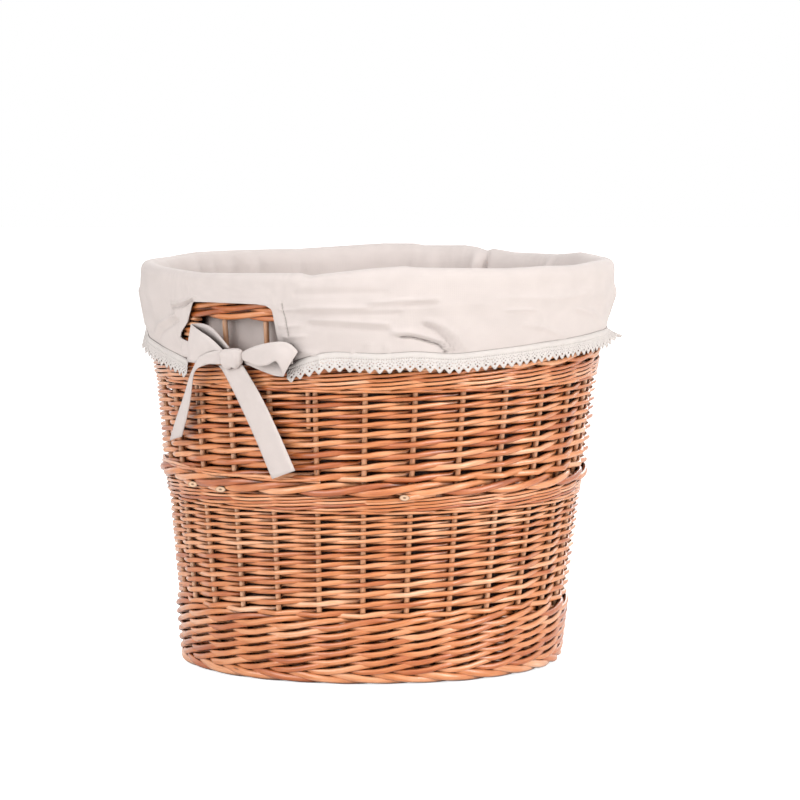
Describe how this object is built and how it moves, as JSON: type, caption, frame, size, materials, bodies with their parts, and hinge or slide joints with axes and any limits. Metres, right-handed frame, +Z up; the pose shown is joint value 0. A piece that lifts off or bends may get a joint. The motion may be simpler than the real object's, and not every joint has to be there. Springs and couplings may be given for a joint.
{
  "type": "round lined wicker basket",
  "caption": "Round tapered willow basket on a rolled foot, with two hand holes and a lift-out cotton liner whose lace-edged cuff folds over the rim and ties in bows.",
  "frame": {"origin": "middle of the basket's outline at floor level", "axes": "+Z up through the open top, -Y to the front, +X to the right as seen from the front; a hand hole and its bow stand 35 to 38 degrees to the left of the front, the other opposite it"},
  "size_m": [0.4741, 0.4736, 0.406],
  "materials": {
    "willow_stakes": "boiled and peeled willow, satin, orange-brown",
    "willow_weavers": "boiled and peeled willow, satin, lighter and darker from rod to rod",
    "willow_rods": "thicker boiled willow rods of the wales and borders, satin, with cream cut ends",
    "liner_cotton": "plain-weave cotton canvas, pale warm ecru, topstitched",
    "cotton_lace": "crocheted cotton lace, off-white"
  },
  "bodies": {
    "basket": {"thick_base_stick_01": "willow_stakes", "thick_base_stick_02": "willow_stakes", "thick_base_stick_03": "willow_stakes", "thick_base_stick_04": "willow_stakes", "thin_base_stick_01": "willow_stakes", "thin_base_stick_02": "willow_stakes", "thin_base_stick_03": "willow_stakes", "stake_01": "willow_stakes", "stake_02": "willow_stakes", "stake_03": "willow_stakes", "stake_04": "willow_stakes", "stake_05": "willow_stakes", "stake_06": "willow_stakes", "stake_07": "willow_stakes", "stake_08": "willow_stakes", "stake_09": "willow_stakes", "stake_10": "willow_stakes", "stake_11": "willow_stakes", "stake_12": "willow_stakes", "stake_13": "willow_stakes", "stake_14": "willow_stakes", "stake_15": "willow_stakes", "stake_16": "willow_stakes", "stake_17": "willow_stakes", "stake_18": "willow_stakes", "stake_19": "willow_stakes", "stake_20": "willow_stakes", "stake_21": "willow_stakes", "stake_22": "willow_stakes", "stake_23": "willow_stakes", "stake_24": "willow_stakes", "stake_25": "willow_stakes", "stake_26": "willow_stakes", "stake_27": "willow_stakes", "stake_28": "willow_stakes", "handle_post_01": "willow_stakes", "handle_post_02": "willow_stakes", "handle_post_03": "willow_stakes", "handle_post_04": "willow_stakes", "base_weave": "willow_weavers", "foot_border": "willow_rods", "upsett_wale": "willow_weavers", "lower_weave": "willow_weavers", "middle_wale": "willow_rods", "upper_weave": "willow_weavers", "top_wale": "willow_rods", "top_border": "willow_rods"},
    "liner": {"liner_floor": "liner_cotton", "liner_wall": "liner_cotton", "liner_turnover": "liner_cotton", "liner_cuff": "liner_cotton", "lace_trim_front": "cotton_lace", "lace_trim_back": "cotton_lace", "left_tie_front": "liner_cotton", "right_tie_front": "liner_cotton", "bow_knot_front": "liner_cotton", "left_tie_back": "liner_cotton", "right_tie_back": "liner_cotton", "bow_knot_back": "liner_cotton"}
  },
  "joints": [
    {"name": "liner_lift", "type": "slide", "parent": "basket", "child": "liner", "axis": [0, 0, 1], "range_m": [0, 0.42], "deforming": ["liner_cuff", "lace_trim_front", "lace_trim_back", "left_tie_front", "right_tie_front", "bow_knot_front", "left_tie_back", "right_tie_back", "bow_knot_back"]}
  ]
}
